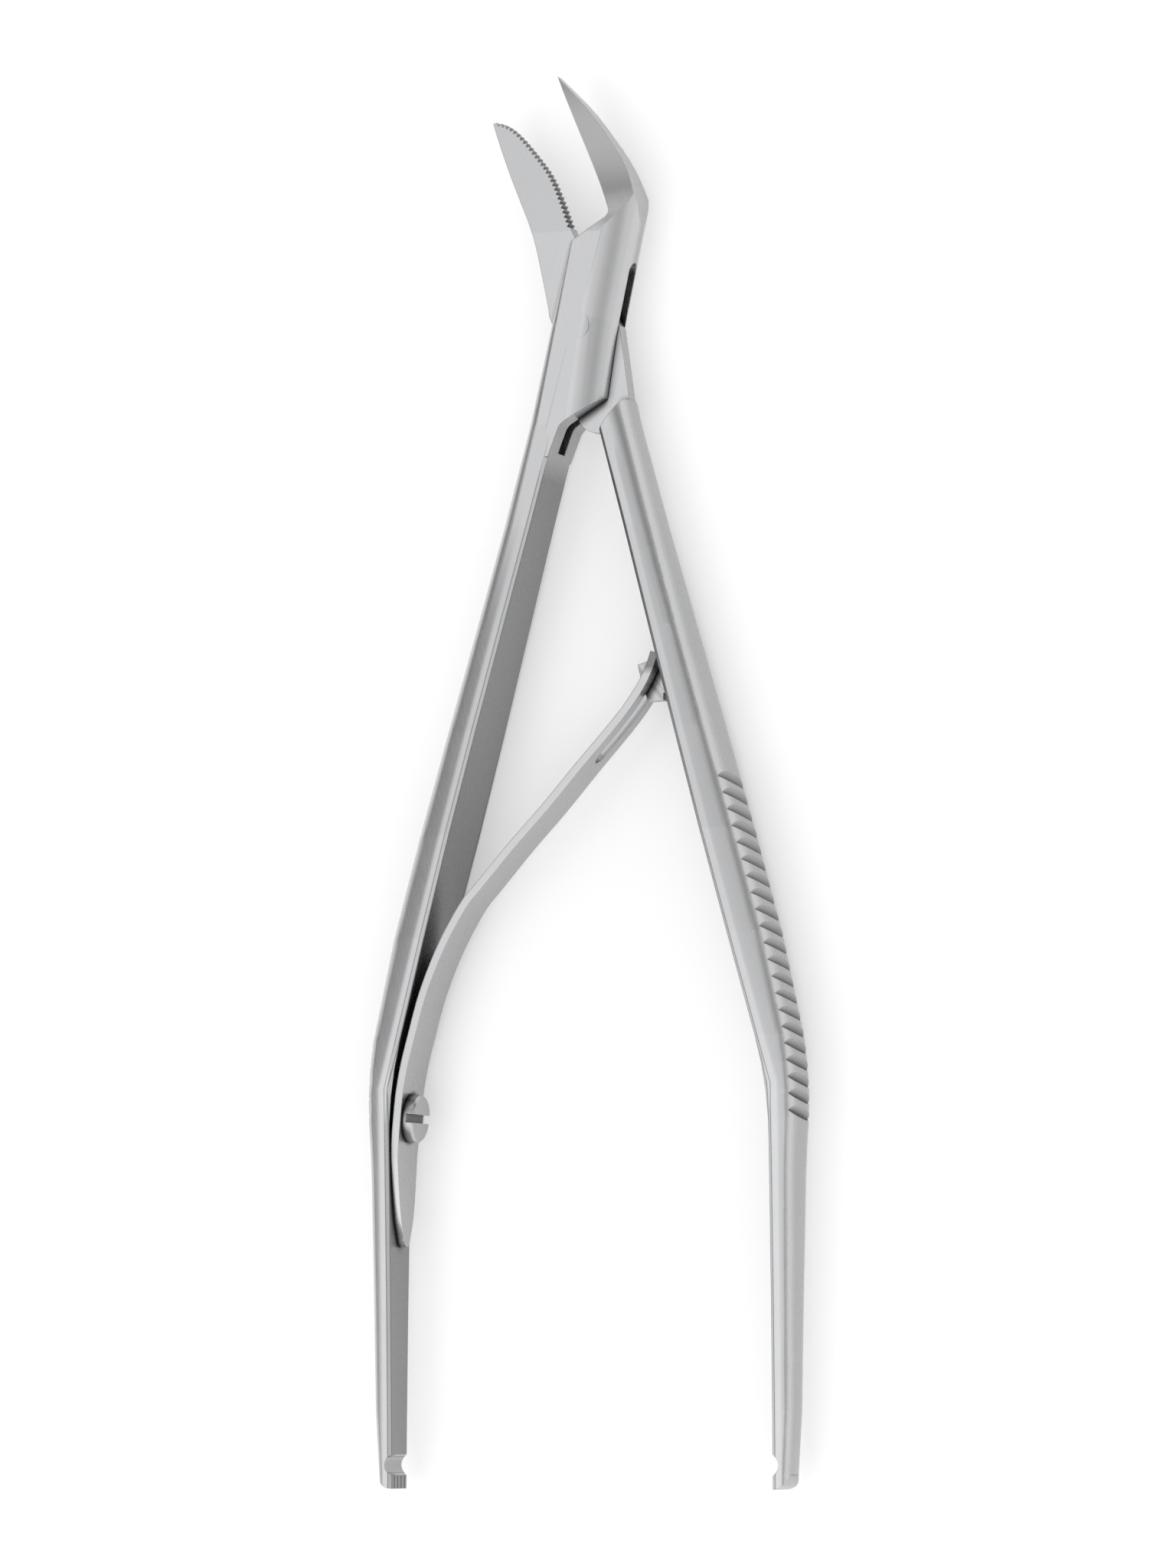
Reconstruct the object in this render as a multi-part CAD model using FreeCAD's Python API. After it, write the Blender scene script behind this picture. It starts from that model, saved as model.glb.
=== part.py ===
# Applying and removing forceps for wound clips, lying flat with the removing jaws towards +Y.
# The origin is on the lock pin's axis, on the cheek that faces down. Sizes are in millimetres.
import FreeCAD, Part
import math
import os

from FreeCAD import Vector

# Box lock
lock_thickness = 6.0
slot_width = 1.7
tongue_side_clearance = 0.05
stop_clearance = 0.15
pin_diameter = 2.4
pin_running_clearance = 0.02
closing_angle = 17.0
window_top = 5.7

# Handles: a straight leg that leans outwards, a bend, and a leg square to the tips
leg_lean = 15.08
bend_y = -66.9
bend_reach = 4.5
tip_half_gap = 17.6
tip_y = -101.9
leg_top = -11.5
edge_bevel = 0.3
crown_squareness = 0.75
tip_corner_radius = 1.3

# Handle sections: place along Y, width along Z, depth across, draft of the sides, depth of the crown
handle_sections = [
    (9.3, 6.0, 3.24, 0.0, 0.35),
    (0.3, 6.0, 3.11, 0.0, 0.8),
    (leg_top, 6.0, 2.75, 0.0, 1.1),
    (-18.0, 6.3, 2.85, 0.0, 1.3),
    (-28.5, 7.1, 3.0, 4.0, 1.3),
    (-42.0, 7.9, 3.3, 11.0, 1.2),
    (-52.0, 7.6, 3.45, 11.0, 1.2),
    (-60.0, 7.0, 3.2, 9.0, 1.1),
    (-66.0, 6.4, 2.65, 6.0, 1.0),
    (-72.5, 5.8, 2.1, 3.0, 0.9),
    (-80.0, 5.2, 1.95, 0.0, 0.9),
    (-90.0, 4.5, 1.8, 0.0, 0.85),
    (-97.0, 4.2, 1.7, 0.0, 0.8),
    (tip_y, 4.0, 1.35, 0.0, 0.65),
]

# The right handle's back is rounder towards the lock: added depth of the crown there, and where it ends
shoulder_round = 1.3
shoulder_round_end = -28.5

section_step = 9.0
bend_section_step = 2.4

# Thumb grooves across the backs of both handles
groove_count = 21
groove_first_y = -40.4
groove_pitch = 1.46
groove_depth = 0.5
groove_long_flank = 54.0
groove_short_flank = 37.0
groove_slant = 7.0

# Applying tips
notch_radius = 1.0
notch_depth = 0.6
notch_y = -99.8
tip_pad_ridges = 5
ridge_depth = 0.12

# Removing jaws
jaw_tip = (-2.65, 22.75)
jaw_inner_corner = (3.05, 9.8)
jaw_corner_radius = 0.7
pocket_width = 1.5
pocket_depth = 0.7
pocket_start = 1.5
pocket_end = 1.7

# How the sides of the smooth jaw are ground hollow: place along Y and half the thickness there
jaw_sides = [
    (8.3, 3.0), (9.5, 2.8), (11.0, 2.2), (12.5, 1.7), (14.5, 1.35), (17.0, 1.15), (19.5, 1.0), (22.75, 0.5),
]
blade_tip_thickness = 0.9
tooth_pitch = 0.45
tooth_depth = 0.3

# Leaf spring, its screw and its catch
leaf_thickness = 0.7
leaf_foot_y = -80.7
leaf_seat_top = -72.5
leaf_flat_top = (-17.083, -67.3)
leaf_arch = [
    (-16.93, -66.2), (-16.68, -65.0), (-16.3, -63.4), (-15.97, -62.2), (-15.05, -58.9), (-13.9, -55.9),
    (-12.6, -53.2), (-10.9, -50.4), (-9.5, -48.8), (-6.5, -45.4), (-3.3, -42.0), (-0.3, -38.6),
    (2.7, -35.3), (4.35, -33.3), (5.5, -31.6), (6.15, -30.3),
]
leaf_end_y = -28.9
leaf_end_gap = 0.03
leaf_half_widths = [
    (-80.0, 0.7), (-78.4, 1.4), (-76.1, 1.9), (-73.6, 2.25), (-69.9, 2.5),
    (-62.0, 2.45), (-50.0, 2.4), (-38.0, 2.25), (-28.2, 2.1),
]
leaf_slot_width = 1.5
leaf_slot_end = -37.2
screw_y = -69.3
screw_head_diameter = 4.3
screw_head_height = 1.0
screw_head_edge = 0.2
screw_shank_diameter = 2.2
screw_shank_depth = 1.5
screw_hole_clearance = 0.05
screw_slot_width = 0.75
screw_slot_depth = 0.65
catch_thickness = 1.2
catch_tenon = 1.0
catch_head = [(7.3, -32.5), (7.3, -33.15), (5.85, -33.2), (5.2, -31.3), (4.9, -29.95), (5.9, -29.65), (7.15, -30.4)]
catch_neck = (-30.6, -32.5)

bar_overlap = 0.8
right_handle_top = 0.3
lock_top_inside_x = 1.6
slot_end = (-2.75, -11.0)

half_lock = lock_thickness / 2
half_slot = slot_width / 2
half_tongue = half_slot - tongue_side_clearance

# How far cuts run past the metal, and how close two points count as one
reach = 2 * lock_thickness
same_place = 0.01


def turned(point, degrees):
    # A plan point carried round the lock pin, positive when the handles close.
    angle = math.radians(degrees)
    x, y = point
    return (x * math.cos(angle) + y * math.sin(angle), y * math.cos(angle) - x * math.sin(angle))


def plan_face(points):
    corners = [Vector(x, y, 0) for x, y in points]
    return Part.Face(Part.makePolygon(corners + corners[:1]))


def slab(face, low, high):
    # A plan face made solid between two heights.
    lifted = face.copy()
    lifted.translate(Vector(0, 0, low))
    return lifted.extrude(Vector(0, 0, high - low))


def spline_edge(points):
    curve = Part.BSplineCurve()
    curve.interpolate([Vector(x, y, 0) for x, y in points])
    return curve.toShape()


def line_edge(start, end):
    return Part.LineSegment(Vector(*start), Vector(*end)).toShape()


def mirrored(shape):
    return shape.mirror(Vector(0, 0, 0), Vector(1, 0, 0))


def inner_x(y):
    # The inner face of the right handle in plan.
    lean = math.tan(math.radians(leg_lean))
    above = y - bend_y
    if above >= bend_reach:
        return tip_half_gap - lean * above
    if above <= -bend_reach:
        return tip_half_gap
    return tip_half_gap - lean * (above + bend_reach) ** 2 / (4 * bend_reach)


def crown_curves(side, back_x, y):
    # The rounded back of a section, from the upper side to the lower one; side is where it begins.
    x, z, slope = side
    run = back_x - x
    upper = [
        Vector(x, y, z),
        Vector(x + crown_squareness * run, y, z - crown_squareness * abs(run) * slope),
        Vector(back_x, y, crown_squareness * (z - abs(run) * slope)),
        Vector(back_x, y, 0),
    ]
    lower = [Vector(p.x, p.y, -p.z) for p in reversed(upper)]
    curves = []
    for poles in (upper, lower):
        curve = Part.BezierCurve()
        curve.setPoles(poles)
        curves.append(curve.toShape())
    return curves


def handle_wire(y, width, depth, draft, crown):
    x = inner_x(y)
    slope = math.tan(math.radians(draft))
    half = width / 2
    side_run = depth - crown - edge_bevel
    side_z = half - side_run * slope
    side_x = x + depth - crown
    upper_crown, lower_crown = crown_curves((side_x, side_z, slope), x + depth, y)
    edges = [
        line_edge((x, y, edge_bevel - half), (x, y, half - edge_bevel)),
        line_edge((x, y, half - edge_bevel), (x + edge_bevel, y, half)),
        line_edge((x + edge_bevel, y, half), (side_x, y, side_z)),
        upper_crown,
        lower_crown,
        line_edge((side_x, y, -side_z), (x + edge_bevel, y, -half)),
        line_edge((x + edge_bevel, y, -half), (x, y, edge_bevel - half)),
    ]
    return Part.Wire(edges)


def between_sections(y):
    # The handle section at any place, drawn smoothly through the ones that are given.
    table = handle_sections
    last = len(table) - 1
    i = max(k for k in range(last) if k == 0 or table[k][0] >= y)
    (y0, *low), (y1, *high) = table[i], table[i + 1]
    before = table[max(i - 1, 0)]
    after = table[min(i + 2, last)]
    t = (y - y0) / (y1 - y0)
    values = []
    for k in range(len(low)):
        start_slope = (high[k] - before[k + 1]) / (y1 - before[0])
        end_slope = (after[k + 1] - low[k]) / (after[0] - y0)
        values.append(
            (2 * t**3 - 3 * t**2 + 1) * low[k]
            + (t**3 - 2 * t**2 + t) * (y1 - y0) * start_slope
            + (3 * t**2 - 2 * t**3) * high[k]
            + (t**3 - t**2) * (y1 - y0) * end_slope
        )
    return values


def handle_between(top_y, added_crown=0.0):
    # One handle as a loft, with its sections closer together round the bend.
    places = [top_y]
    while places[-1] > tip_y:
        near_bend = abs(places[-1] - bend_y) < 2 * bend_reach
        places.append(places[-1] - (bend_section_step if near_bend else section_step))
    places[-1] = tip_y
    if places[-2] - tip_y < bend_section_step:
        del places[-2]
    wires = []
    for y in places:
        width, depth, draft, crown = between_sections(y)
        share = max(0.0, (y - shoulder_round_end) / (top_y - shoulder_round_end))
        wires.append(handle_wire(y, width, depth, draft, crown + added_crown * share))
    return Part.makeLoft(wires, True, True)


# Places in plan where the lock's outline and its slot are fixed
lock_top_left = (-0.9, 7.2)
lock_round_line = [(1.55, leg_top), (3.37, 0.3), (8.2, 23.0)]
crotch_corner = (-1.55, -8.65)
crotch_end = (2.21, -6.35)
crotch_radius = 1.4
jaw_back = [jaw_tip, (-0.95, 21.0), (0.66, 19.2), (2.07, 17.3), (3.24, 15.6), (4.19, 13.9), (4.85, 12.2), (5.22, 10.8)]
jaw_back_leave = (5.2, 8.6)

tongue_left = [(-3.3, 1.2), (-1.0, -4.5), (-0.5, -8.2)]
tongue_foot = [(0.0, -8.9), (0.75, -9.25), (1.4, -9.3)]
shoulder_low = (2.08, -9.25)
shoulder_high = (4.2, -6.4)
tongue_right = [(3.73, -3.0), (3.3, 0.0)]
blade_root = (-1.2, 8.8)
blade_tip = (-8.75, 18.85)
blade_tip_face = (-8.4, 18.95)
blade_edge = [
    blade_tip_face, (-7.3, 18.55), (-5.95, 17.4), (-4.45, 15.6), (-3.25, 13.9), (-2.45, 12.2), (-1.8, 10.5), blade_root,
]
blade_back = [(-3.4, 2.0), (-4.1, 5.4), (-4.95, 8.8), (-6.4, 12.4), (-7.8, 16.0), blade_tip]


def broken_line_x(points, y):
    ordered = sorted(points, key=lambda point: point[1])
    i = max(k for k in range(len(ordered) - 1) if k == 0 or ordered[k][1] <= y)
    (x0, y0), (x1, y1) = ordered[i], ordered[i + 1]
    return x0 + (x1 - x0) * (y - y0) / (y1 - y0)


def across_line(start, end):
    # The unit direction square to a plan line, on its right-hand side.
    return Vector(end[1] - start[1], start[0] - end[0], 0).normalize()


def half_round_bar(start, end):
    # A bar along a plan line: flat above and below, half round on the line's right-hand side.
    along = Vector(end[0] - start[0], end[1] - start[1], 0)
    across = across_line(start, end)
    rim = Vector(*start, 0) - along
    centre = rim - across * half_lock
    back = centre - across * reach
    up = Vector(0, 0, half_lock)
    section = [
        Part.LineSegment(back - up, back + up).toShape(),
        Part.LineSegment(back + up, centre + up).toShape(),
        Part.Arc(centre + up, rim, centre - up).toShape(),
        Part.LineSegment(centre - up, back - up).toShape(),
    ]
    return Part.Face(Part.Wire(section)).extrude(along * 3)


def lock_bar():
    # The forged bar that both the lock and the smooth jaw are cut from, mitred where its edge turns.
    low, middle, high = lock_round_line
    mitre = across_line(low, middle) + across_line(middle, high)
    right = (middle[0] + mitre.x * reach, middle[1] + mitre.y * reach)
    left = (middle[0] - mitre.x * reach, middle[1] - mitre.y * reach)
    upper_side = plan_face([left, right, (right[0], 4 * reach), (left[0], 4 * reach)])
    above = slab(upper_side, -reach, reach)
    lower = half_round_bar(low, middle).cut(above)
    upper = half_round_bar(middle, high).common(above)
    return lower.fuse(upper)


def smooth_jaw_and_lock_outline():
    # In plan: crotch, round side, curved jaw back, jaw tip, inner edge, and a line inside the handle.
    crotch_slope = (crotch_end[1] - crotch_corner[1]) / (crotch_end[0] - crotch_corner[0])
    crotch_far = (reach, crotch_corner[1] + crotch_slope * (reach - crotch_corner[0]))
    foot = (-inner_x(leg_top), leg_top)
    inside_handle = (foot[0] - bar_overlap, foot[1])
    corners = [
        jaw_back[-1],
        jaw_back_leave,
        (reach, jaw_back_leave[1]),
        crotch_far,
        crotch_corner,
        foot,
        inside_handle,
        (-inner_x(right_handle_top) - bar_overlap, right_handle_top),
        on_lock_top(lock_top_inside_x),
        jaw_inner_corner,
        jaw_tip,
    ]
    edges = [line_edge((*p, 0), (*q, 0)) for p, q in zip(corners, corners[1:])]
    return Part.Face(Part.Wire([spline_edge(jaw_back)] + edges))


def on_lock_top(x):
    # A plan point on the straight line that ends the lock above, at a place in X.
    (x0, y0), (x1, y1) = lock_top_left, jaw_inner_corner
    return (x, y0 + (y1 - y0) * (x - x0) / (x1 - x0))


def above_lock_top():
    far = on_lock_top(-reach)
    return slab(plan_face([far, jaw_inner_corner, (jaw_inner_corner[0], reach), (-reach, reach)]), -reach, reach)


def rounded_corner(solid, point, radius):
    # Rounds the upright edge that stands at a plan point.
    x, y = point
    upright = [
        edge for edge in solid.Edges
        if all(math.hypot(v.Point.x - x, v.Point.y - y) < same_place for v in edge.Vertexes)
    ]
    return solid.makeFillet(radius, upright)


def lock_slot():
    # The room that the tongue sweeps from open to closed, with a round-ended window at the back.
    left_wall = [turned(point, closing_angle) for point in tongue_left + tongue_foot[:1]]
    left_wall = [(x - stop_clearance, y) for x, y in left_wall]
    right_wall = [turned(point, closing_angle) for point in (tongue_right[1], blade_root)]
    right_wall = [(x + stop_clearance, y) for x, y in right_wall]
    square_top = window_top - half_slot
    wall_x = broken_line_x(right_wall, square_top)
    beyond_wall = broken_line_x(right_wall, reach)
    outline = [
        (-reach, left_wall[0][1]),
        *left_wall,
        slot_end,
        (reach, slot_end[1]),
        (reach, square_top),
        (wall_x, square_top),
        (beyond_wall, reach),
        (-reach, reach),
    ]
    slot = slab(plan_face(outline), -half_slot, half_slot)
    window_end = Part.makeCylinder(
        half_slot, reach - wall_x, Vector(wall_x, square_top, 0), Vector(1, 0, 0)
    )
    return slot.fuse(window_end)


def hollow_sides(profile):
    # What is ground off both sides of a jaw along a smooth curve of places and half thicknesses.
    curve = Part.BSplineCurve()
    curve.interpolate([Vector(-reach, y, z) for y, z in profile])
    (low_y, low_z), (top_y, top_z) = profile[0], profile[-1]
    rim = [
        Vector(-reach, top_y, top_z),
        Vector(-reach, 2 * top_y, top_z),
        Vector(-reach, 2 * top_y, low_z + reach),
        Vector(-reach, low_y, low_z + reach),
        Vector(-reach, low_y, low_z),
    ]
    edges = [curve.toShape()] + [line_edge(start, end) for start, end in zip(rim, rim[1:])]
    upper = Part.Face(Part.Wire(edges)).extrude(Vector(2 * reach, 0, 0))
    lower = upper.mirror(Vector(0, 0, 0), Vector(0, 0, 1))
    return [upper, lower]


def side_wedges(start, end):
    # What is ground off both sides of a jaw: start and end are a place in Y and the half thickness there.
    slope = (end[1] - start[1]) / (end[0] - start[0])
    far_y = end[0] + reach
    profile = [
        Vector(-reach, start[0], start[1]),
        Vector(-reach, far_y, end[1] + slope * reach),
        Vector(-reach, far_y, start[1] + reach),
        Vector(-reach, start[0], start[1] + reach),
    ]
    upper = Part.Face(Part.makePolygon(profile + profile[:1])).extrude(Vector(2 * reach, 0, 0))
    lower = upper.mirror(Vector(0, 0, 0), Vector(0, 0, 1))
    return [upper, lower]


def jaw_pocket():
    # A disc-cut pocket in the smooth jaw's inner edge, which takes the blade when the jaws close.
    corner = Vector(*jaw_inner_corner, 0)
    tip = Vector(*jaw_tip, 0)
    along = (tip - corner).normalize()
    start = corner + along * pocket_start
    end = tip - along * pocket_end
    chord = (end - start).Length
    radius = chord**2 / (8 * pocket_depth) + pocket_depth / 2
    outwards = Vector(-along.y, along.x, 0)
    centre = (start + end) * 0.5 + outwards * (radius - pocket_depth)
    return Part.makeCylinder(radius, pocket_width, centre - Vector(0, 0, pocket_width / 2))


def pin_hole(radius):
    return Part.makeCylinder(radius, 2 * lock_thickness, Vector(0, 0, -lock_thickness))


def make_box_half():
    # Left handle, slotted lock and smooth jaw, one forging.
    outline = slab(smooth_jaw_and_lock_outline(), -lock_thickness, lock_thickness)
    outline = rounded_corner(outline, jaw_inner_corner, jaw_corner_radius)
    outline = rounded_corner(outline, crotch_corner, crotch_radius)
    head = lock_bar().common(outline)
    handle = handle_between(handle_sections[0][0]).cut(groove_cutters() + tip_cutters())
    head = head.fuse(mirrored(handle).cut([screw_shank(), above_lock_top()]))
    head = head.cut(hollow_sides(jaw_sides) + [jaw_pocket()])
    head = head.cut(lock_slot())
    head = head.cut(pin_hole(pin_diameter / 2))
    return head


def blade_teeth_cutters():
    # Vee cuts square to the blade's curved edge, one each tooth pitch.
    edge = spline_edge(blade_edge)
    half_width = tooth_pitch / 2
    cutters = []
    for i in range(int(edge.Length / tooth_pitch)):
        parameter = edge.getParameterByLength((i + 0.5) * tooth_pitch)
        point = edge.valueAt(parameter)
        along = edge.tangentAt(parameter)
        outwards = Vector(along.y, -along.x, 0) * -1
        root = point - outwards * tooth_depth
        vee = [
            root,
            root + (outwards * tooth_depth + along * half_width) * 2,
            root + (outwards * tooth_depth - along * half_width) * 2,
        ]
        cutters.append(slab(plan_face([(v.x, v.y) for v in vee]), -half_lock, half_lock))
    return cutters


def tongue_plate():
    # The flat tongue through the lock, with the serrated jaw at its end.
    edges = [
        spline_edge(blade_edge),
        line_edge((*blade_root, 0), (*tongue_right[1], 0)),
        line_edge((*tongue_right[1], 0), (*tongue_right[0], 0)),
        line_edge((*tongue_right[0], 0), (*shoulder_high, 0)),
        line_edge((*shoulder_high, 0), (*shoulder_low, 0)),
        line_edge((*shoulder_low, 0), (*tongue_foot[-1], 0)),
        spline_edge(tongue_foot[::-1] + tongue_left[-1:]),
        line_edge((*tongue_left[2], 0), (*tongue_left[1], 0)),
        line_edge((*tongue_left[1], 0), (*tongue_left[0], 0)),
        line_edge((*tongue_left[0], 0), (*blade_back[0], 0)),
        spline_edge(blade_back),
        line_edge((*blade_tip, 0), (*blade_tip_face, 0)),
    ]
    plate = slab(Part.Face(Part.Wire(edges)), -half_tongue, half_tongue)
    plate = plate.cut(side_wedges((blade_root[1], half_tongue), (blade_tip_face[1], blade_tip_thickness / 2)))
    return plate.cut(blade_teeth_cutters())


def back_place(y):
    # A point on the right handle's back in plan, with the outward direction there.
    def back_point(place):
        return Vector(inner_x(place) + between_sections(place)[1], place, 0)

    along = (back_point(y + section_step / 8) - back_point(y - section_step / 8)).normalize()
    return back_point(y), Vector(along.y, -along.x, 0)


def groove_cutters():
    # Slanting vee cuts across the right handle's back, which run out where the back falls away.
    long_flank, short_flank, slant = [
        math.tan(math.radians(angle)) for angle in (groove_long_flank, groove_short_flank, groove_slant)
    ]
    cutters = []
    for i in range(groove_count):
        point, outwards = back_place(groove_first_y - i * groove_pitch)
        upwards = Vector(-outwards.y, outwards.x, 0)
        root_direction = Vector(0, 0, 1) + upwards * slant
        root = point - outwards * groove_depth - root_direction * lock_thickness
        vee = [root, root + outwards + upwards * long_flank, root + outwards - upwards * short_flank]
        face = Part.Face(Part.makePolygon(vee + vee[:1]))
        cutters.append(face.extrude(root_direction * (2 * lock_thickness)))
    return cutters


def tip_cutters():
    # The clip notch, the fine ridges of the end pad and the rounded outer corner of a right-hand tip.
    notch_x = tip_half_gap - notch_radius + notch_depth
    cutters = [Part.makeCylinder(notch_radius, 2 * reach, Vector(notch_x, notch_y, -reach))]

    tip_width = handle_sections[-1][1]
    pitch = tip_width / tip_pad_ridges
    pad_top = notch_y - notch_radius
    for i in range(1, tip_pad_ridges):
        z = i * pitch - tip_width / 2
        x = tip_half_gap
        vee = [
            Vector(x + ridge_depth, pad_top, z),
            Vector(x - ridge_depth, pad_top, z + 2 * ridge_depth),
            Vector(x - ridge_depth, pad_top, z - 2 * ridge_depth),
        ]
        face = Part.Face(Part.makePolygon(vee + vee[:1]))
        cutters.append(face.extrude(Vector(0, 2 * (tip_y - pad_top), 0)))

    centre_x = tip_half_gap + handle_sections[-1][2] - tip_corner_radius
    centre_y = tip_y + tip_corner_radius
    corner = Part.makeBox(reach, reach, 2 * reach, Vector(centre_x, centre_y - reach, -reach))
    round_part = Part.makeCylinder(tip_corner_radius, 2 * reach, Vector(centre_x, centre_y, -reach))
    cutters.append(corner.cut(round_part))
    return cutters


def catch_outline(extra):
    # The catch in plan, with its tenon sunk into the handle's inner face.
    top, bottom = catch_neck
    tenon = [(inner_x(top) + extra, top), (inner_x(bottom) + extra, bottom)]
    return plan_face(catch_head + tenon)


def make_spring_catch():
    return slab(catch_outline(catch_tenon), -catch_thickness / 2, catch_thickness / 2)


def make_tongue_half():
    # Right handle, tongue and serrated jaw, one forging.
    low_reach = 2 * tip_y
    keep = [
        shoulder_low,
        shoulder_high,
        (reach, shoulder_high[1]),
        (-low_reach, low_reach),
        (low_reach, low_reach),
    ]
    handle = handle_between(right_handle_top, shoulder_round)
    handle = handle.common(slab(plan_face(keep), -lock_thickness, lock_thickness))
    handle = handle.cut(groove_cutters() + tip_cutters() + [make_spring_catch()])
    half = handle.fuse(tongue_plate())
    return half.cut(pin_hole(pin_diameter / 2 + pin_running_clearance))


def make_lock_pin():
    return Part.makeCylinder(pin_diameter / 2, lock_thickness, Vector(0, 0, -half_lock))


def leaf_back_edges():
    # The leaf's back in plan: seat on the handle, flat under the screw, long arch to the fork's end.
    end = (inner_x(leaf_end_y) - leaf_thickness - leaf_end_gap, leaf_end_y)
    foot = Vector(-tip_half_gap, leaf_foot_y, 0)
    seat_top = Vector(-tip_half_gap, leaf_seat_top, 0)
    flat_top = Vector(*leaf_flat_top, 0)
    arch = Part.BSplineCurve()
    points = [flat_top] + [Vector(x, y, 0) for x, y in leaf_arch + [end]]
    end_direction = points[-1] - points[-2]
    arch.interpolate(
        Points=points,
        InitialTangent=(flat_top - seat_top).normalize(),
        FinalTangent=end_direction.normalize(),
    )
    return foot, seat_top, flat_top, arch


def leaf_front_offset(start, end):
    along = (end - start).normalize()
    return Vector(along.y, -along.x, 0) * leaf_thickness


def make_leaf_spring():
    foot, seat_top, flat_top, arch = leaf_back_edges()
    front_foot = foot + leaf_front_offset(foot, seat_top)
    flat_offset = leaf_front_offset(seat_top, flat_top)
    rise = flat_offset.x / flat_offset.y
    front_seat_top = seat_top + flat_offset
    front_seat_top.y += (front_foot.x - front_seat_top.x) * -rise
    front_seat_top.x = front_foot.x
    front_points = []
    steps = 2 * len(leaf_arch)
    for i in range(steps + 1):
        parameter = arch.FirstParameter + (arch.LastParameter - arch.FirstParameter) * i / steps
        tangent = Vector(*arch.tangent(parameter)[0])
        front_points.append(arch.value(parameter) + Vector(tangent.y, -tangent.x, 0) * leaf_thickness)
    front = Part.BSplineCurve()
    front.interpolate(front_points)
    outline = Part.Wire([
        line_edge(foot, seat_top),
        line_edge(seat_top, flat_top),
        arch.toShape(),
        line_edge(arch.value(arch.LastParameter), front_points[-1]),
        front.toShape(),
        line_edge(front_points[0], front_seat_top),
        line_edge(front_seat_top, front_foot),
        line_edge(front_foot, foot),
    ])
    sheet = slab(Part.Face(outline), -lock_thickness, lock_thickness)

    sides = []
    for side in (1, -1):
        curve = Part.BSplineCurve()
        curve.interpolate([Vector(0, y, side * half_width) for y, half_width in leaf_half_widths])
        sides.append(curve.toShape())
    (low_y, low_half), (top_y, top_half) = leaf_half_widths[0], leaf_half_widths[-1]
    foot_arc = Part.Arc(Vector(0, low_y, low_half), Vector(0, leaf_foot_y, 0), Vector(0, low_y, -low_half))
    blank = Part.Wire(Part.__sortEdges__([
        sides[0],
        line_edge((0, top_y, top_half), (0, top_y, -top_half)),
        sides[1],
        foot_arc.toShape(),
    ]))
    blank_solid = Part.Face(blank).extrude(Vector(4 * tip_half_gap, 0, 0))
    blank_solid.translate(Vector(-2 * tip_half_gap, 0, 0))

    half_leaf_slot = leaf_slot_width / 2
    slot = Part.makeBox(
        2 * tip_half_gap, -leaf_slot_end, leaf_slot_width, Vector(-tip_half_gap, leaf_slot_end, -half_leaf_slot)
    )
    slot_round = Part.makeCylinder(
        half_leaf_slot, 2 * tip_half_gap, Vector(-tip_half_gap, leaf_slot_end, 0), Vector(1, 0, 0)
    )
    seat, axis = screw_place()
    hole_radius = screw_shank_diameter / 2 + screw_hole_clearance
    hole = Part.makeCylinder(hole_radius, 4 * leaf_thickness, seat - axis * 2 * leaf_thickness, axis)
    return sheet.common(blank_solid).cut([slot, slot_round, hole])


def screw_place():
    # Where the screw's head bears on the leaf, and the way the screw points outwards.
    seat_top = Vector(-tip_half_gap, leaf_seat_top, 0)
    flat_top = Vector(*leaf_flat_top, 0)
    offset = leaf_front_offset(seat_top, flat_top)
    along = (screw_y - leaf_seat_top) / (flat_top.y - seat_top.y)
    return seat_top + (flat_top - seat_top) * along + offset, offset.normalize()


def screw_shank():
    seat, axis = screw_place()
    length = leaf_thickness + screw_shank_depth
    return Part.makeCylinder(screw_shank_diameter / 2, length, seat - axis * length, axis)


def make_spring_screw():
    seat, axis = screw_place()
    head = Part.makeCylinder(screw_head_diameter / 2, screw_head_height, seat, axis)
    rim = [edge for edge in head.Edges if edge.Closed and (edge.CenterOfMass - seat).dot(axis) > same_place]
    head = head.makeChamfer(screw_head_edge, rim)
    across = Vector(-axis.y, axis.x, 0)
    corner = seat + axis * (screw_head_height - screw_slot_depth) - across * (screw_slot_width / 2)
    profile = [
        corner,
        corner + across * screw_slot_width,
        corner + across * screw_slot_width + axis * screw_head_height,
        corner + axis * screw_head_height,
    ]
    slot = slab(Part.Face(Part.makePolygon(profile + profile[:1])), -lock_thickness, lock_thickness)
    return head.fuse(screw_shank()).cut(slot)


parts = {
    "box_half": make_box_half(),
    "tongue_half": make_tongue_half(),
    "lock_pin": make_lock_pin(),
    "leaf_spring": make_leaf_spring(),
    "spring_screw": make_spring_screw(),
    "spring_catch": make_spring_catch(),
}

os.makedirs("parts", exist_ok=True)
for node, shape in parts.items():
    lifted = shape.copy()
    lifted.translate(Vector(0, 0, half_lock))
    lifted.exportStep("parts/" + node + ".step")
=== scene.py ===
import math

import bpy
from mathutils import Matrix, Vector


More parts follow.
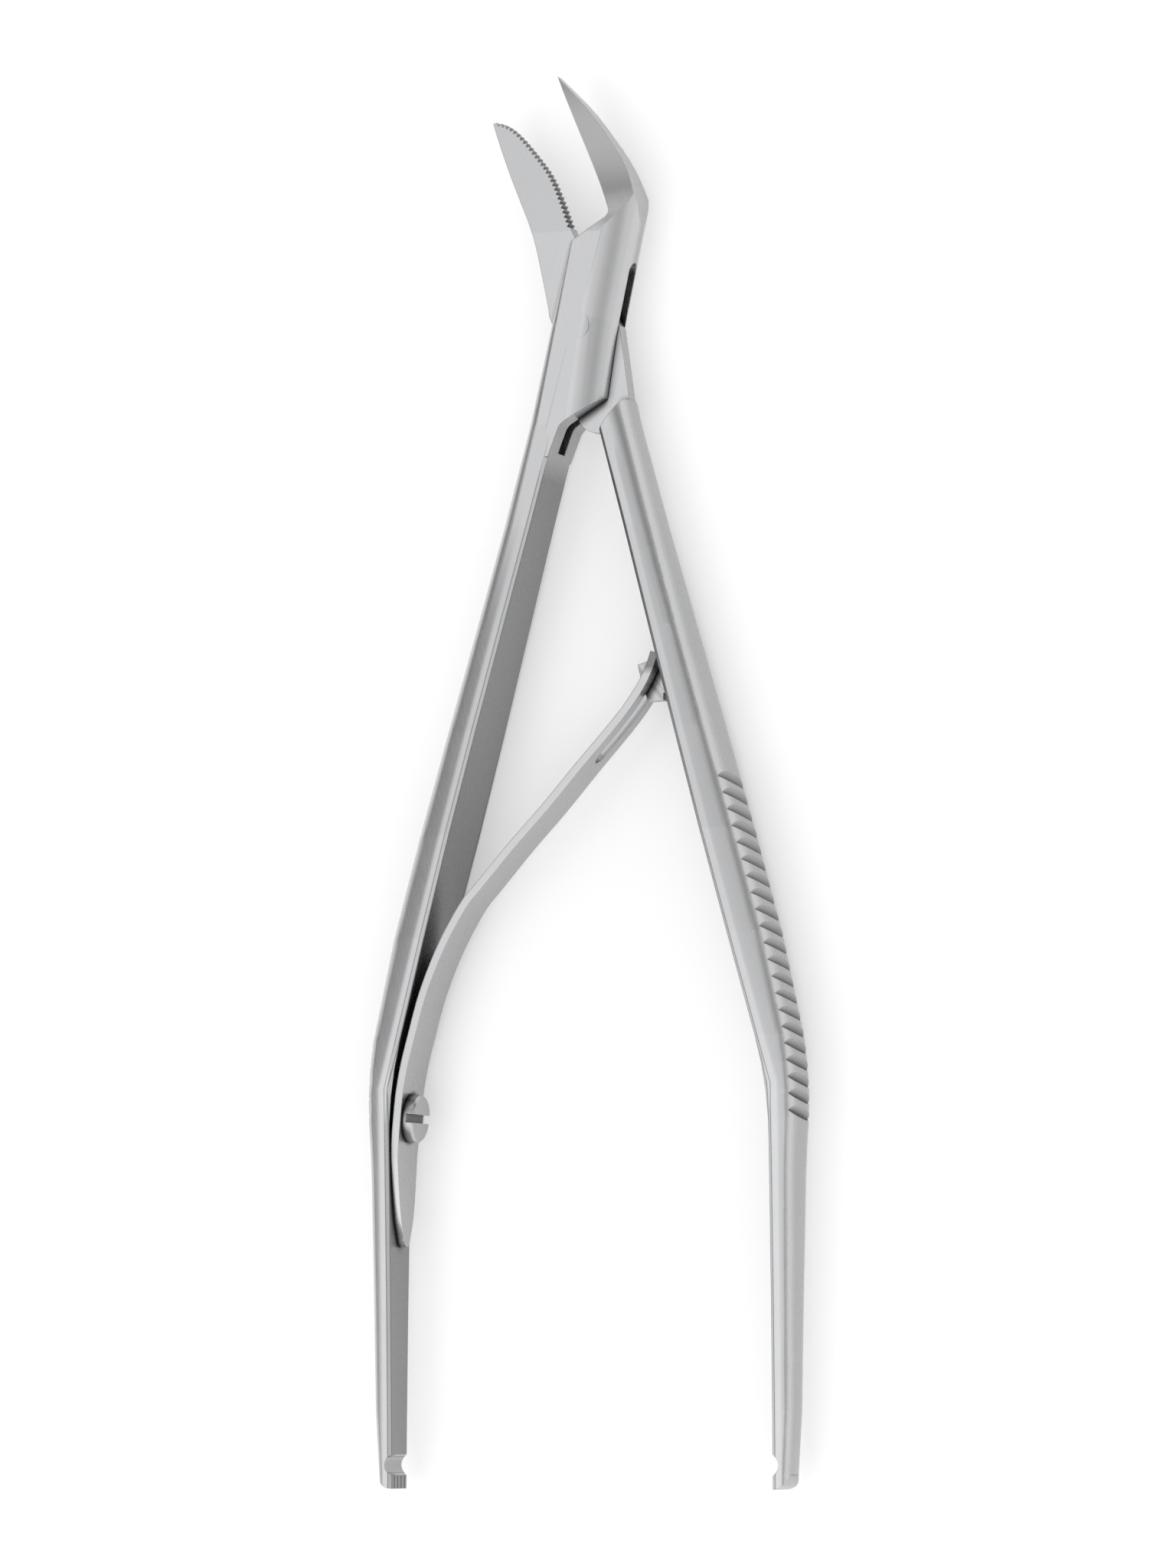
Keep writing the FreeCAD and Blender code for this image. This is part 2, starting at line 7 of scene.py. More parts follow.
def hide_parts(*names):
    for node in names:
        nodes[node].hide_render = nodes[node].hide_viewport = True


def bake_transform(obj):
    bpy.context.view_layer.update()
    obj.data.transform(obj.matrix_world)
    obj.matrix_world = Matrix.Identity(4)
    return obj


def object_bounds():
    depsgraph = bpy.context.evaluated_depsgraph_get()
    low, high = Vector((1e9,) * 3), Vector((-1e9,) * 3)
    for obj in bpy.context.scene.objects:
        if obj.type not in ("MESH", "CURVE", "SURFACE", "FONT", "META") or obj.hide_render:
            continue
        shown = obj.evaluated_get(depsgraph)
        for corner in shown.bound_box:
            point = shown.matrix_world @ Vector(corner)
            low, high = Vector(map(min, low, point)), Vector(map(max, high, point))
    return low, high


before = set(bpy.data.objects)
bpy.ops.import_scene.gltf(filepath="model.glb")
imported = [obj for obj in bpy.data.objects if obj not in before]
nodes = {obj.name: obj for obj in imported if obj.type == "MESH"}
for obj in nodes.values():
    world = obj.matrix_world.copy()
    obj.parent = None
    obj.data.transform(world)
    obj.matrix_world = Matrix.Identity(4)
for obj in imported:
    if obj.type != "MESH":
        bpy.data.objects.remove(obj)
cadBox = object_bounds()
scene = bpy.context.scene
mm = 0.001
noiseReach = (0.3, 0.7)  # noise hardly leaves these


# short ways to make and join the nodes of a tree
def newMaterial(name):
    material = bpy.data.materials.new(name)
    material.use_nodes = True
    material.node_tree.nodes.clear()
    return material, material.node_tree


def link(tree, start, end):
    tree.links.new(start, end)


def fill(tree, socket, value):
    # a socket takes another node's result or a plain value
    if isinstance(value, bpy.types.NodeSocket):
        link(tree, value, socket)
    else:
        socket.default_value = value


def mathNode(tree, operation, *values):
    node = tree.nodes.new("ShaderNodeMath")
    node.operation = operation
    for socket, value in zip(node.inputs, values):
        fill(tree, socket, value)
    return node.outputs[0]


def vectorNode(tree, operation, *values):
    node = tree.nodes.new("ShaderNodeVectorMath")
    node.operation = operation
    for socket, value in zip(node.inputs, values):
        fill(tree, socket, value)
    return node.outputs["Value" if operation == "LENGTH" else "Vector"]


def scaleNode(tree, vector, factor):
    node = tree.nodes.new("ShaderNodeVectorMath")
    node.operation = "SCALE"
    fill(tree, node.inputs[0], vector)
    fill(tree, node.inputs["Scale"], factor)
    return node.outputs["Vector"]


def splitNode(tree, vector):
    node = tree.nodes.new("ShaderNodeSeparateXYZ")
    link(tree, vector, node.inputs[0])
    return node.outputs["X"], node.outputs["Y"], node.outputs["Z"]


def axisNode(tree, axis, value):
    # a vector along one axis
    node = tree.nodes.new("ShaderNodeCombineXYZ")
    link(tree, value, node.inputs[axis])
    return node.outputs[0]


def mapNode(tree, value, before, after, kind="LINEAR"):
    # from one range to another, held at both ends
    node = tree.nodes.new("ShaderNodeMapRange")
    node.interpolation_type = kind
    for name, number in zip(("From Min", "From Max", "To Min", "To Max"), (*before, *after)):
        node.inputs[name].default_value = number
    link(tree, value, node.inputs["Value"])
    return node.outputs["Result"]


def noiseNode(tree, vector, scale, detail=2.0, roughness=0.5):
    node = tree.nodes.new("ShaderNodeTexNoise")
    node.inputs["Scale"].default_value = scale
    node.inputs["Detail"].default_value = detail
    node.inputs["Roughness"].default_value = roughness
    link(tree, vector, node.inputs["Vector"])
    return node.outputs["Fac"]


def turnNormal(tree, normal, start, end):
    node = tree.nodes.new("ShaderNodeVectorTransform")
    node.vector_type = "NORMAL"
    node.convert_from = start
    node.convert_to = end
    link(tree, normal, node.inputs[0])
    return node.outputs[0]


def slopeOf(degrees):
    return math.tan(math.radians(degrees))


# satin steel, brushed along each piece, with painted shade in hollows, on upright faces and along
# the arms' bevels
forgedFinish = {
    "colour": (0.55, 0.552, 0.56),
    "roughness": 0.27,
    "roughSpread": 0.03,
    "grainTurn": 14.0,            # way of the brushing in plan, degrees from +Y towards -X
    "grainStretch": 0.012,        # the smaller, the longer the lines
    "grainScale": 7000.0,
    "grainNoise": (3.0, 0.6),     # detail and roughness of the noise
    "grainTone": 0.012,
    "cloudScale": 160.0,
    "cloudTone": 0.01,
    "paintedSideTone": 0.74,             # painted shade: upright faces are darker
    "paintedSideLimits": (0.08, 0.3),    # upright below one share of up or down, flat above the other
    "flatLimits": (0.92, 0.97),   # the same for the flats that grinding turns
    "bump": 0.02,
    "bumpDepth": 0.01 * mm,
    "edgeRound": 0.12 * mm,       # edges are rounded by a hair, so that they catch the light
    "edgeSamples": 4,
    "flushRadius": 1.8 * mm,      # but not round the lock pin, which is ground flush
    "paintedShadeReach": 0.9 * mm,      # painted shade: notches, teeth and seams are darker within this reach
    "paintedShadeLimits": (0.06, 0.4),  # how shut in they are where the dark starts and where it is full
    "paintedShadeTone": 0.12,
    "paintedShadeSamples": 8,
    "shape": None,                # how hand grinding turns the flats
    "edges": None,                # whose bevel edges get painted dark lines
    "paintedShadeEnd": None,              # painted shade along Y: where it turns dark, where it is darkest, how dark
}
screwFinish = dict(forgedFinish, colour=(0.52, 0.522, 0.528), grainTurn=0.0)
catchFinish = dict(
    forgedFinish,
    colour=(0.46, 0.462, 0.465),
    grainTurn=40.0,
    grainScale=4000.0,
    grainTone=0.3,
    bump=0.5,
)
leafFinish = dict(
    forgedFinish,
    grainTurn=-38.0,
    grainTone=0.03,
    paintedShadeReach=0.45 * mm,
    # painted shade: the leaf's end beyond the catch is darker
    paintedShadeEnd=(-31.0 * mm, -30.3 * mm, 0.4),
)

# hand grinding leaves the flats a little round, and those of the arms tilt more and more outwards
leftArmGrinding = {
    "topLine": (2.673 * mm, -11.5 * mm),     # inner line of an arm in plan, from lock to bend
    "bendLine": (17.6 * mm, -66.9 * mm),
    "starts": (-12.0 * mm, -32.0 * mm),      # along Y: where it starts and where it is full
    "crest": (0.62 * mm, 1.2 * mm, 9.0),     # two distances from that line, and degrees gained
    "outer": (1.2 * mm, 2.2 * mm, 4.0),
    "lines": (0.02 * mm, 0.31 * mm),         # painted shade: both edges of the bevel show as fine dark lines
    "shadeLineWidth": 0.07 * mm,
    "shadeLineTone": 0.6,
    "shadeLinesStart": (-11.5 * mm, -13.5 * mm),  # along Y, as above
}
rightArmGrinding = dict(
    leftArmGrinding,
    starts=(-9.5 * mm, -13.0 * mm),
    crest=(0.6 * mm, 1.2 * mm, 13.0),
    outer=(1.2 * mm, 2.2 * mm, 5.0),
)
jawGrinding = {"starts": (9.8 * mm, 11.5 * mm), "tilt": -3.5}
pinGrinding = {"across": (0.45 * mm, 1.5 * mm), "lean": 0.17, "tilt": 24.0}


def armOut(tree, place, grinding):
    # distance outwards from the inner line of an arm
    x, y = place
    (topX, topY), (bendX, bendY) = grinding["topLine"], grinding["bendLine"]
    line = mapNode(tree, y, (bendY, topY), (bendX, topX))
    return mathNode(tree, "SUBTRACT", mathNode(tree, "ABSOLUTE", x), line)


def armShadeLines(tree, place, grinding):
    # painted shade of the fine dark lines, which fade before the lock
    out = armOut(tree, place, grinding)
    shown = mapNode(tree, place[1], sorted(grinding["shadeLinesStart"]), (1.0, 0.0))
    dark = 0.0
    for middle in grinding["lines"]:
        away = mathNode(tree, "ABSOLUTE", mathNode(tree, "SUBTRACT", out, middle))
        line = mapNode(tree, away, (0.0, grinding["shadeLineWidth"]), (grinding["shadeLineTone"], 0.0))
        dark = mathNode(tree, "ADD", line, dark)
    return mathNode(tree, "SUBTRACT", 1.0, mathNode(tree, "MULTIPLY", dark, shown))


# each of these gives the sideways slope wanted on the flats, and how far it holds at a place
def armSlope(tree, place, grinding):
    x, y = place
    out = armOut(tree, place, grinding)
    slope = 0.0
    for part, kind in (("crest", "SMOOTHSTEP"), ("outer", "LINEAR")):
        near, far, gained = grinding[part]
        more = mapNode(tree, out, (near, far), (0.0, slopeOf(gained)), kind)
        slope = mathNode(tree, "ADD", more, slope)
    slope = mathNode(tree, "MULTIPLY", slope, mathNode(tree, "SIGN", x))
    return slope, mapNode(tree, y, sorted(grinding["starts"]), (1.0, 0.0), "SMOOTHSTEP")


def jawSlope(tree, place, grinding):
    zone = mapNode(tree, place[1], grinding["starts"], (0.0, 1.0), "SMOOTHSTEP")
    return slopeOf(grinding["tilt"]), zone


def pinSlope(tree, place, grinding):
    # the end of the pin follows the round of the lock
    x, y = place
    across = mathNode(tree, "MULTIPLY_ADD", y, -grinding["lean"], x)
    return mapNode(tree, across, grinding["across"], (0.0, slopeOf(grinding["tilt"]))), 1.0


def groundNormal(tree, place, normal, finish):
    own = turnNormal(tree, normal, "WORLD", "OBJECT")
    ownX, _, ownZ = splitNode(tree, own)
    up = mathNode(tree, "ABSOLUTE", ownZ)
    flat = mapNode(tree, up, finish["flatLimits"], (0.0, 1.0), "SMOOTHSTEP")
    change = 0.0
    for makeSlope, grinding in finish["shape"]:
        slope, zone = makeSlope(tree, place, grinding)
        step = mathNode(tree, "MULTIPLY", mathNode(tree, "SUBTRACT", slope, ownX), zone)
        change = mathNode(tree, "ADD", step, change)
    sideways = axisNode(tree, "X", mathNode(tree, "MULTIPLY", change, flat))
    turned = vectorNode(tree, "NORMALIZE", vectorNode(tree, "ADD", own, sideways))
    return turnNormal(tree, turned, "OBJECT", "WORLD")


# painted shade: ambient occlusion darkens the colour in notches, teeth and seams, but not round
# the flush pin
def paintedHollowShade(tree, isEdge, finish):
    hollow = tree.nodes.new("ShaderNodeAmbientOcclusion")
    hollow.samples = finish["paintedShadeSamples"]
    hollow.inputs["Distance"].default_value = finish["paintedShadeReach"]
    shutIn = mathNode(tree, "SUBTRACT", 1.0, hollow.outputs["AO"])
    shutIn = mathNode(tree, "MULTIPLY", shutIn, isEdge)
    return mapNode(tree, shutIn, finish["paintedShadeLimits"], (1.0, finish["paintedShadeTone"]))


# painted shade: faces that stand upright are toned darker than the flats
def paintedSideShade(tree, finish):
    faceNormal = tree.nodes.new("ShaderNodeNewGeometry").outputs["Normal"]
    _, _, up = splitNode(tree, turnNormal(tree, faceNormal, "WORLD", "OBJECT"))
    up = mathNode(tree, "ABSOLUTE", up)
    return mapNode(tree, up, finish["paintedSideLimits"], (finish["paintedSideTone"], 1.0))


def satinSteel(name, finish):
    material, tree = newMaterial(name)
    place = tree.nodes.new("ShaderNodeTexCoord").outputs["Object"]
    x, y, _ = splitNode(tree, place)

    turn = tree.nodes.new("ShaderNodeMapping")
    turn.inputs["Rotation"].default_value = (0, 0, math.radians(-finish["grainTurn"]))
    link(tree, place, turn.inputs["Vector"])
    stretch = (1.0, finish["grainStretch"], 1.0)
    stretched = vectorNode(tree, "MULTIPLY", turn.outputs["Vector"], stretch)
    grain = noiseNode(tree, stretched, finish["grainScale"], *finish["grainNoise"])
    cloud = noiseNode(tree, place, finish["cloudScale"])

    fromPin = vectorNode(tree, "LENGTH", vectorNode(tree, "MULTIPLY", place, (1.0, 1.0, 0.0)))
    isEdge = mathNode(tree, "GREATER_THAN", fromPin, finish["flushRadius"])

    # fine lines and slow clouds, a few per cent each, and then the painted shade of hollows,
    # upright faces, the leaf's end and the bevel lines
    grainTone, cloudTone = finish["grainTone"], finish["cloudTone"]
    tones = [
        mapNode(tree, cloud, noiseReach, (1 - cloudTone, 1 + cloudTone)),
        paintedHollowShade(tree, isEdge, finish),
        paintedSideShade(tree, finish),
    ]
    if finish["paintedShadeEnd"]:
        start, end, dark = finish["paintedShadeEnd"]
        tones.append(mapNode(tree, y, (start, end), (1.0, dark)))
    if finish["edges"]:
        tones.append(armShadeLines(tree, (x, y), finish["edges"]))
    tone = mapNode(tree, grain, noiseReach, (1 - grainTone, 1 + grainTone))
    for other in tones:
        tone = mathNode(tree, "MULTIPLY", tone, other)

    middle, spread = finish["roughness"], finish["roughSpread"]
    roughness = mapNode(tree, grain, noiseReach, (middle - spread, middle + spread))

    edge = tree.nodes.new("ShaderNodeBevel")
    edge.samples = finish["edgeSamples"]
    link(tree, mathNode(tree, "MULTIPLY", isEdge, finish["edgeRound"]), edge.inputs["Radius"])
    normal = edge.outputs["Normal"]
    if finish["shape"]:
        normal = groundNormal(tree, (x, y), normal, finish)
    bump = tree.nodes.new("ShaderNodeBump")
    bump.inputs["Strength"].default_value = finish["bump"]
    bump.inputs["Distance"].default_value = finish["bumpDepth"]
    link(tree, grain, bump.inputs["Height"])
    link(tree, normal, bump.inputs["Normal"])

    shader = tree.nodes.new("ShaderNodeBsdfPrincipled")
    shader.inputs["Metallic"].default_value = 1.0
    link(tree, scaleNode(tree, finish["colour"], tone), shader.inputs["Base Color"])
    link(tree, roughness, shader.inputs["Roughness"])
    link(tree, bump.outputs["Normal"], shader.inputs["Normal"])
    out = tree.nodes.new("ShaderNodeOutputMaterial")
    link(tree, shader.outputs[0], out.inputs["Surface"])
    return material


leftArm, rightArm = (armSlope, leftArmGrinding), (armSlope, rightArmGrinding)
jaw, pinEnd = (jawSlope, jawGrinding), (pinSlope, pinGrinding)
boxFinish = dict(forgedFinish, shape=(leftArm, jaw), edges=leftArmGrinding)
tongueFinish = dict(forgedFinish, grainTurn=-14.0, shape=(rightArm,), edges=rightArmGrinding)
pinFinish = dict(forgedFinish, shape=(pinEnd,))
steels = {
    "box_half": satinSteel("satinBoxHalf", boxFinish),
    "tongue_half": satinSteel("satinTongueHalf", tongueFinish),
    "lock_pin": satinSteel("satinPin", pinFinish),
    "spring_screw": satinSteel("turnedScrew", screwFinish),
    "spring_catch": satinSteel("filedCatch", catchFinish),
    "leaf_spring": satinSteel("rolledLeaf", leafFinish),
}
for name, material in steels.items():
    nodes[name].data.materials.clear()
    nodes[name].data.materials.append(material)
print("steel finishes on", len(steels), "pieces")


# leaf spring: a strip from its seat to its fork
leafSpring = {
    "thickness": 0.7 * mm,
    "middle": 3.0 * mm,           # height of the strip's middle
    "slotWidth": 1.5 * mm,
    "slotEnds": (-37.95, -37.2),  # along Y in mm: where it starts and where it is full width
    # places of the back in plan with half the width there, in mm
    "path": [
        (-17.6, -80.7, 0.15), (-17.6, -80.45, 0.5), (-17.6, -80.0, 0.7), (-17.6, -78.4, 1.4),
        (-17.6, -76.1, 1.9), (-17.6, -73.6, 2.25), (-17.56, -72.3, 2.36), (-17.34, -69.9, 2.5),
        (-17.083, -67.3, 2.49), (-16.68, -65.0, 2.47), (-16.3, -63.4, 2.45), (-15.97, -62.2, 2.45),
        (-15.05, -58.9, 2.44), (-13.9, -55.9, 2.43), (-12.6, -53.2, 2.42), (-10.9, -50.4, 2.4),
        (-9.5, -48.8, 2.39), (-6.5, -45.4, 2.35), (-3.3, -42.0, 2.3), (-0.3, -38.6, 2.26),
        (2.7, -35.3, 2.2), (4.35, -33.3, 2.16), (5.5, -31.6, 2.14), (6.15, -30.3, 2.12),
        (6.62, -28.93, 2.1),
    ],
    "pathResolution": 24,
    "steps": 260,
    "weld": 0.001 * mm,           # points nearer than this become one
    "smoothAngle": 0.5,           # sharper edges stay crisp, radians
    "bendStart": (-0.0145, -0.0565, 0.003),
    "bendEnd": (0.0065, -0.0305, 0.003),
}


def shareAt(path, y):
    # share of the path's length at a place in Y
    total, before = 0.0, None
    for (x0, y0, _), (x1, y1, _) in zip(path, path[1:]):
        step = math.hypot(x1 - x0, y1 - y0)
        if before is None and y <= y1:
            before = total + step * (y - y0) / (y1 - y0)
        total += step
    return before / total


def slotHalf(tree, along, start):
    # the slot opens as a half circle and then keeps its width
    opening = mathNode(tree, "SUBTRACT", along, start["Slot Start"])
    run = mathNode(tree, "SUBTRACT", start["Slot Full"], start["Slot Start"])
    opened = mathNode(tree, "MAXIMUM", mathNode(tree, "DIVIDE", opening, run), 0.0)
    left = mathNode(tree, "SUBTRACT", 1.0, mathNode(tree, "MINIMUM", opened, 1.0))
    square = mathNode(tree, "SUBTRACT", 1.0, mathNode(tree, "MULTIPLY", left, left))
    return mathNode(tree, "MULTIPLY", mathNode(tree, "SQRT", square), start["Slot Half"])


def leafTree(spring, material):
    tree = bpy.data.node_groups.new("leafStrip", "GeometryNodeTree")
    face = tree.interface
    face.new_socket("Geometry", in_out="INPUT", socket_type="NodeSocketGeometry")
    for name in ("Thickness", "Slot Half", "Slot Start", "Slot Full"):
        face.new_socket(name, in_out="INPUT", socket_type="NodeSocketFloat")
    face.new_socket("Steps", in_out="INPUT", socket_type="NodeSocketInt")
    face.new_socket("Geometry", in_out="OUTPUT", socket_type="NodeSocketGeometry")
    start = tree.nodes.new("NodeGroupInput").outputs

    curve = tree.nodes.new("GeometryNodeMeshToCurve")
    link(tree, start["Geometry"], curve.inputs[0])
    smooth = tree.nodes.new("GeometryNodeCurveSplineType")
    smooth.spline_type = "CATMULL_ROM"
    link(tree, curve.outputs[0], smooth.inputs["Curve"])
    path = tree.nodes.new("GeometryNodeSetSplineResolution")
    path.inputs["Resolution"].default_value = spring["pathResolution"]
    link(tree, smooth.outputs[0], path.inputs[0])

    # a unit block in many slices: x runs along the strip, y through it, z across half of it
    block = tree.nodes.new("GeometryNodeMeshCube")
    block.inputs["Size"].default_value = (1, 1, 1)
    link(tree, start["Steps"], block.inputs["Vertices X"])
    unit = splitNode(tree, tree.nodes.new("GeometryNodeInputPosition").outputs[0])
    along, through, across = [mathNode(tree, "ADD", value, 0.5) for value in unit]

    width = tree.nodes.new("GeometryNodeInputNamedAttribute")
    width.inputs["Name"].default_value = "halfWidth"
    sample = tree.nodes.new("GeometryNodeSampleCurve")
    sample.mode = "FACTOR"
    sample.use_all_curves = True
    link(tree, path.outputs[0], sample.inputs["Curves"])
    link(tree, width.outputs["Attribute"], sample.inputs["Value"])
    link(tree, along, sample.inputs["Factor"])

    # the path bends the block
    slot = slotHalf(tree, along, start)
    metal = mathNode(tree, "SUBTRACT", sample.outputs["Value"], slot)
    height = mathNode(tree, "ADD", slot, mathNode(tree, "MULTIPLY", across, metal))
    front = vectorNode(tree, "CROSS_PRODUCT", sample.outputs["Tangent"], (0, 0, 1))
    depth = mathNode(tree, "MULTIPLY", through, start["Thickness"])
    depth = scaleNode(tree, vectorNode(tree, "NORMALIZE", front), depth)
    place = vectorNode(tree, "ADD", sample.outputs["Position"], depth)
    place = vectorNode(tree, "ADD", place, axisNode(tree, "Z", height))
    bent = tree.nodes.new("GeometryNodeSetPosition")
    link(tree, block.outputs["Mesh"], bent.inputs["Geometry"])
    link(tree, place, bent.inputs["Position"])

    # where there is no slot yet, the two halves are joined without a wall between them
    _, _, level = splitNode(tree, tree.nodes.new("GeometryNodeInputPosition").outputs[0])
    wall = tree.nodes.new("GeometryNodeDeleteGeometry")
    wall.domain = "FACE"
    link(tree, bent.outputs[0], wall.inputs["Geometry"])
    link(tree, mathNode(tree, "LESS_THAN", level, spring["weld"]), wall.inputs["Selection"])
    lower = tree.nodes.new("GeometryNodeTransform")
    lower.inputs["Scale"].default_value = (1, 1, -1)
    link(tree, wall.outputs[0], lower.inputs["Geometry"])
    flip = tree.nodes.new("GeometryNodeFlipFaces")
    link(tree, wall.outputs[0], flip.inputs[0])
    both = tree.nodes.new("GeometryNodeJoinGeometry")
    link(tree, flip.outputs[0], both.inputs[0])
    link(tree, lower.outputs[0], both.inputs[0])
    merge = tree.nodes.new("GeometryNodeMergeByDistance")
    merge.inputs["Distance"].default_value = spring["weld"]
    link(tree, both.outputs[0], merge.inputs["Geometry"])
    lift = tree.nodes.new("GeometryNodeTransform")
    lift.inputs["Translation"].default_value = (0, 0, spring["middle"])
    link(tree, merge.outputs[0], lift.inputs["Geometry"])

    shade = tree.nodes.new("GeometryNodeSetShadeSmooth")
    shade.domain = "EDGE"
    angle = tree.nodes.new("GeometryNodeInputMeshEdgeAngle").outputs["Unsigned Angle"]
    link(tree, lift.outputs[0], shade.inputs["Geometry"])
    isSmooth = mathNode(tree, "LESS_THAN", angle, spring["smoothAngle"])
    link(tree, isSmooth, shade.inputs["Shade Smooth"])
    realize = tree.nodes.new("GeometryNodeRealizeInstances")
    link(tree, shade.outputs[0], realize.inputs[0])
    paint = tree.nodes.new("GeometryNodeSetMaterial")
    paint.inputs["Material"].default_value = material
    link(tree, realize.outputs[0], paint.inputs["Geometry"])
    link(tree, paint.outputs[0], tree.nodes.new("NodeGroupOutput").inputs[0])
    return tree


def makeLeaf(spring):
    path = spring["path"]
    line = bpy.data.meshes.new("leafPath")
    points = [(x * mm, y * mm, 0) for x, y, _ in path]
    line.from_pydata(points, [(i, i + 1) for i in range(len(points) - 1)], [])
    widths = line.attributes.new("halfWidth", "FLOAT", "POINT")
    widths.data.foreach_set("value", [half * mm for _, _, half in path])
    guide = bpy.data.objects.new("leafPath", line)
    scene.collection.objects.link(guide)

    tree = leafTree(spring, steels["leaf_spring"])
    values = {
        "Thickness": spring["thickness"],
        "Slot Half": spring["slotWidth"] / 2,
        "Slot Start": shareAt(path, spring["slotEnds"][0]),
        "Slot Full": shareAt(path, spring["slotEnds"][1]),
        "Steps": spring["steps"],
    }
    modifier = guide.modifiers.new("leafStrip", "NODES")
    modifier.node_group = tree
    for item in tree.interface.items_tree:
        if item.in_out == "INPUT" and item.name in values:
            modifier[item.identifier] = values[item.name]
    bpy.context.view_layer.update()
    finished = guide.evaluated_get(bpy.context.evaluated_depsgraph_get())
    mesh = bpy.data.meshes.new_from_object(finished)
    guide.modifiers.remove(modifier)
    bpy.data.objects.remove(guide)
    leaf = bpy.data.objects.new("leafSpring", mesh)
    scene.collection.objects.link(leaf)
    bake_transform(leaf)
    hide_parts("leaf_spring")
    return leaf


leaf = makeLeaf(leafSpring)
print("leaf spring of", len(leaf.data.polygons), "faces")


# floor, sky and camera
studio = {
    "floorSize": 1.6,
    "floorPlace": (0.0, -40.0 * mm),
    "floorColour": (0.9, 0.9, 0.9, 1.0),
    "floorGlow": 0.30,              # lifts the floor to white, and leaves most of the shadow
    "tilt": 20.0,                   # camera leans towards +X
    "pitch": 5.0,                   # and towards -Y
    "distance": 0.65,
    "aim": (0.05 * mm, -40.25 * mm, 3.0 * mm),
    "frameHeight": 137.7 * mm,
    "sensor": 36.0,
    "clip": (0.05, 10.0),
    # brightness of the sky by angle from straight up, positive towards -X, round the Y axis
    "sky": [
        (180, 0.80), (110, 0.90), (88, 1.25), (72, 0.85), (59, 0.50), (48, 0.38), (38, 0.50),
        (29, 0.98), (22, 1.40), (12, 1.40), (2, 1.10), (-12, 0.98), (-28, 0.76), (-46, 0.60),
        (-60, 0.68), (-76, 0.92), (-94, 0.82), (-112, 0.74), (-180, 0.80),
    ],
    "skyTop": 2.0,                  # brightness that the ramp's white stands for
    "skyFall": 0.8,                 # darker towards +Y, brighter towards -Y
    "plainSky": (0.6, 0.85, 0.95),  # turns plain between two shares of Y, and how bright
}


def makeFloor(studio):
    place = (*studio["floorPlace"], cadBox[0].z)
    bpy.ops.mesh.primitive_plane_add(size=studio["floorSize"], location=place)
    floor = bpy.context.object
    floor.name = "paleFloor"
    material, tree = newMaterial("paleFloor")
    matt = tree.nodes.new("ShaderNodeBsdfDiffuse")
    matt.inputs["Color"].default_value = studio["floorColour"]
    rays = tree.nodes.new("ShaderNodeLightPath").outputs
    seen = mathNode(tree, "MAXIMUM", rays["Is Camera Ray"], rays["Is Glossy Ray"])
    seen = mathNode(tree, "MAXIMUM", seen, rays["Is Transmission Ray"])
    glow = tree.nodes.new("ShaderNodeEmission")
    link(tree, mathNode(tree, "MULTIPLY", seen, studio["floorGlow"]), glow.inputs["Strength"])
    both = tree.nodes.new("ShaderNodeAddShader")
    link(tree, matt.outputs[0], both.inputs[0])
    link(tree, glow.outputs[0], both.inputs[1])
    out = tree.nodes.new("ShaderNodeOutputMaterial")
    link(tree, both.outputs[0], out.inputs["Surface"])
    floor.data.materials.append(material)


